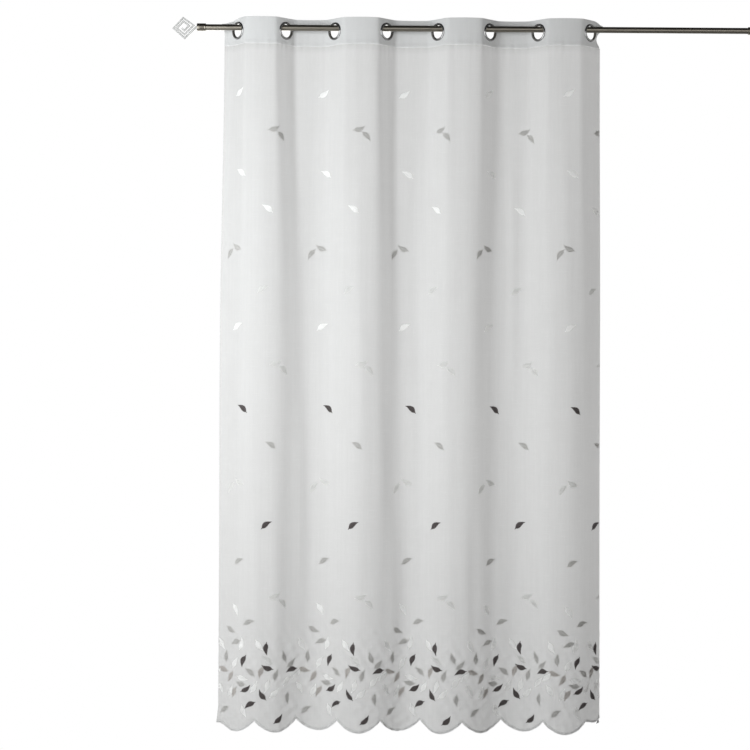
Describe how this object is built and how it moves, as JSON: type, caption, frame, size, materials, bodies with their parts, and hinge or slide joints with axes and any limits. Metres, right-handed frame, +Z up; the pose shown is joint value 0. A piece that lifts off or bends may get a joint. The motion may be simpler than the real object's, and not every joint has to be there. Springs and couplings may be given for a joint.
{
  "type": "sheer voile curtain on a rod",
  "caption": "Sheer white voile curtain with embroidered leaves and a scalloped hem, hung in soft folds by metal eyelets on a plain round rod with a square-spiral finial.",
  "frame": {"origin": "on the rod's axis, above the middle of the hung cloth", "axes": "+X along the rod, to the right seen from the front; -Y to the front, the side that the eyelets' front rings and the embroidery's good side face; +Z up"},
  "size_m": [1.9708, 0.0768, 2.4039],
  "materials": {
    "rod_pewter": "brushed warm-grey pewter, fine scratches round the rod",
    "finial_silver": "satin silver, lightly worn edges",
    "eyelet_nickel": "polished dark nickel",
    "voile": "sheer slubbed plain weave, semi-transparent, with satin-stitched leaves and a whip-stitched scalloped edge",
    "heading_band": "folded and stiffened voile, nearly opaque, with one row of topstitching"
  },
  "bodies": {
    "root": {"rod": "rod_pewter", "cap_left": "rod_pewter", "cap_right": "rod_pewter", "finial": "finial_silver", "heading": "heading_band", "panel": "voile", "eyelet_1_front": "eyelet_nickel", "eyelet_1_back": "eyelet_nickel", "eyelet_2_front": "eyelet_nickel", "eyelet_2_back": "eyelet_nickel", "eyelet_3_front": "eyelet_nickel", "eyelet_3_back": "eyelet_nickel", "eyelet_4_front": "eyelet_nickel", "eyelet_4_back": "eyelet_nickel", "eyelet_5_front": "eyelet_nickel", "eyelet_5_back": "eyelet_nickel", "eyelet_6_front": "eyelet_nickel", "eyelet_6_back": "eyelet_nickel", "eyelet_7_front": "eyelet_nickel", "eyelet_7_back": "eyelet_nickel", "eyelet_8_front": "eyelet_nickel", "eyelet_8_back": "eyelet_nickel"}
  },
  "joints": []
}
